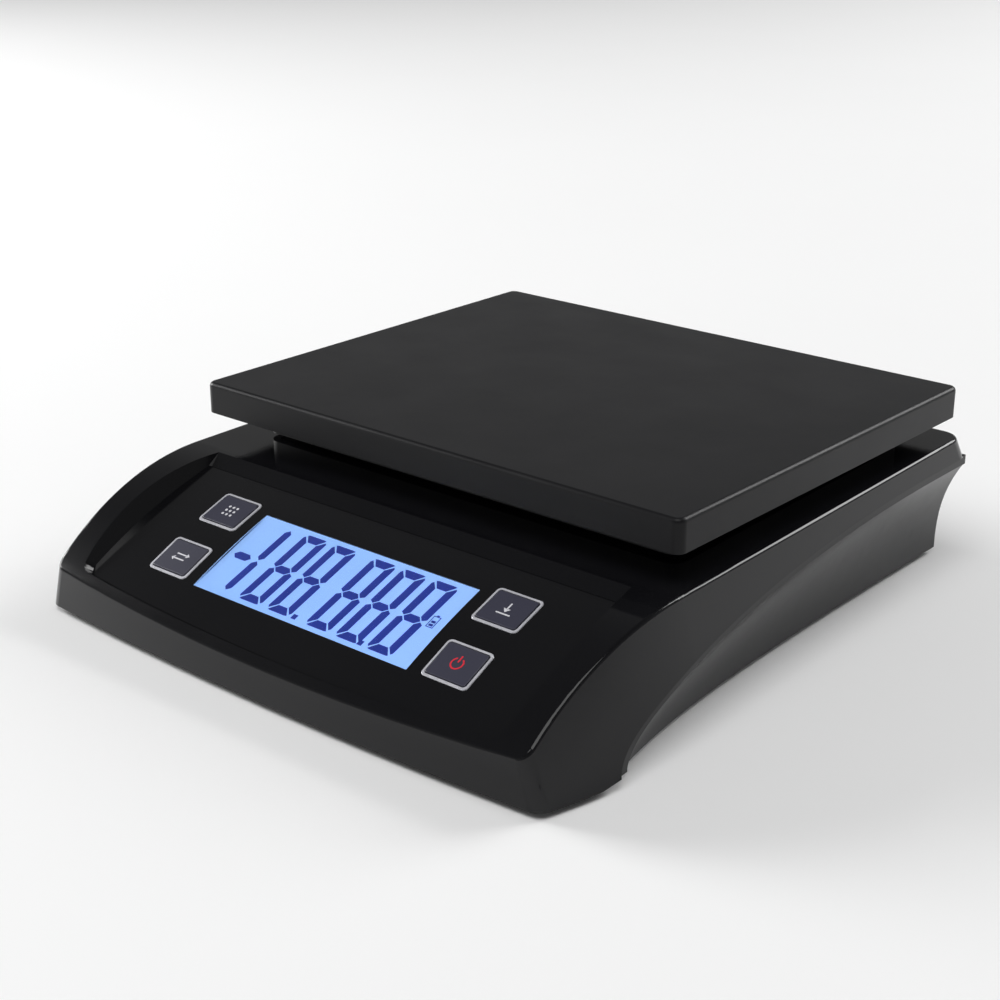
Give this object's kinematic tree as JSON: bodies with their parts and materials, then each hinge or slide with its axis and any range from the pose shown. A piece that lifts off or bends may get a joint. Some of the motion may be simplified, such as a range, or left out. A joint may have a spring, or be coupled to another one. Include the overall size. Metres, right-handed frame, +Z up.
{
  "type": "counting scale",
  "caption": "Compact counting scale: arched plastic case, curved control panel with a backlit display and silver-rimmed keys, and a flat platform on a load cell.",
  "frame": {"origin": "bottom centre of the bounding box, on the table under the feet", "axes": "+X to the user's right when facing the display, +Y away from the user towards the rear, +Z up"},
  "size_m": [0.2222, 0.2411, 0.064],
  "materials": {
    "case_gloss_black": "polished",
    "case_lower_black": "polished",
    "panel_gloss_black": "polished",
    "display_window": "clear",
    "lcd_glass": "clear",
    "backlight": "frosted",
    "frame_plastic": "moulded",
    "elastomer": "moulded",
    "silicone": "moulded",
    "circuit_board": "solder mask",
    "screw_steel": "plated",
    "screw_black": "blackened",
    "epoxy_black": "moulded",
    "platform_black": "satin",
    "carrier_black": "moulded",
    "cell_aluminium": "milled",
    "sealant": "cast",
    "spacer_steel": "plated",
    "battery_jacket": "printed sleeve",
    "contact_nickel": "nickel plated",
    "jack_black": "moulded",
    "lead_grey": "extruded",
    "lead_red": "extruded",
    "lead_black": "extruded",
    "bezel_silver": "plated",
    "key_slate": "satin",
    "rubber_black": "moulded",
    "foot_rubber": "moulded"
  },
  "bodies": {
    "base": {"backlight": "backlight", "base_screws": "screw_steel", "battery_front": "battery_jacket", "battery_lead_negative": "lead_black", "battery_lead_positive": "lead_red", "battery_rear": "battery_jacket", "bezel_count": "bezel_silver", "bezel_power": "bezel_silver", "bezel_tare": "bezel_silver", "bezel_unit": "bezel_silver", "board_screws": "screw_steel", "bottom_case": "case_lower_black", "case_screws": "screw_black", "contact_bridge": "contact_nickel", "contact_negative": "contact_nickel", "contact_positive": "contact_nickel", "contact_strip_front": "elastomer", "contact_strip_rear": "elastomer", "control_panel": "panel_gloss_black", "controller_chip": "epoxy_black", "converter_chip": "epoxy_black", "dc_jack": "jack_black", "display_frame": "frame_plastic", "display_window": "display_window", "foot_front_left": "foot_rubber", "foot_front_right": "foot_rubber", "foot_rear_left": "foot_rubber", "foot_rear_right": "foot_rubber", "jack_lead": "lead_black", "key_pad_left": "silicone", "key_pad_right": "silicone", "lcd_glass": "lcd_glass", "load_cell": "cell_aluminium", "load_cell_lead": "lead_grey", "lower_spacer": "spacer_steel", "main_board": "circuit_board", "spring_front": "contact_nickel", "spring_rear": "contact_nickel", "stop_bumper_front_left": "rubber_black", "stop_bumper_front_right": "rubber_black", "stop_bumper_rear_left": "rubber_black", "stop_bumper_rear_right": "rubber_black", "strain_cover": "sealant", "upper_case": "case_gloss_black"},
    "carrier": {"platform_carrier": "carrier_black", "upper_spacer": "spacer_steel", "carrier_screws": "screw_steel", "carrier_pad_front_left": "rubber_black", "carrier_pad_front_right": "rubber_black", "carrier_pad_rear_left": "rubber_black", "carrier_pad_rear_right": "rubber_black"},
    "platform": {"platform": "platform_black"},
    "battery_door": {"battery_door": "case_lower_black"},
    "key_count": {"key_count": "key_slate"},
    "key_power": {"key_power": "key_slate"},
    "key_tare": {"key_tare": "key_slate"},
    "key_unit": {"key_unit": "key_slate"}
  },
  "joints": [
    {"name": "key_count_press", "type": "slide", "parent": "base", "child": "key_count", "axis": [0, -0.35, 0.9367], "range_m": [-0.0006, 0], "stiffness_N_per_m": 2500},
    {"name": "key_power_press", "type": "slide", "parent": "base", "child": "key_power", "axis": [0, -0.4305, 0.9026], "range_m": [-0.0006, 0], "stiffness_N_per_m": 2500},
    {"name": "key_tare_press", "type": "slide", "parent": "base", "child": "key_tare", "axis": [0, -0.35, 0.9367], "range_m": [-0.0006, 0], "stiffness_N_per_m": 2500},
    {"name": "key_unit_press", "type": "slide", "parent": "base", "child": "key_unit", "axis": [0, -0.4305, 0.9026], "range_m": [-0.0006, 0], "stiffness_N_per_m": 2500},
    {"name": "platform_load", "type": "slide", "parent": "base", "child": "carrier", "axis": [0, 0, 1], "range_m": [-0.0005, 0], "stiffness_N_per_m": 100000, "springref_m": 0.00003, "deforming": ["load_cell"]},
    {"name": "platform_lift", "type": "slide", "parent": "carrier", "child": "platform", "axis": [0, 0, 1], "range_m": [0, 0.03]},
    {"name": "battery_door_hinge", "type": "hinge", "parent": "base", "child": "battery_door", "pos_m": [0.041, -0.0778, 0.0022], "axis": [1, 0, 0], "range_deg": [-80, 0]}
  ]
}
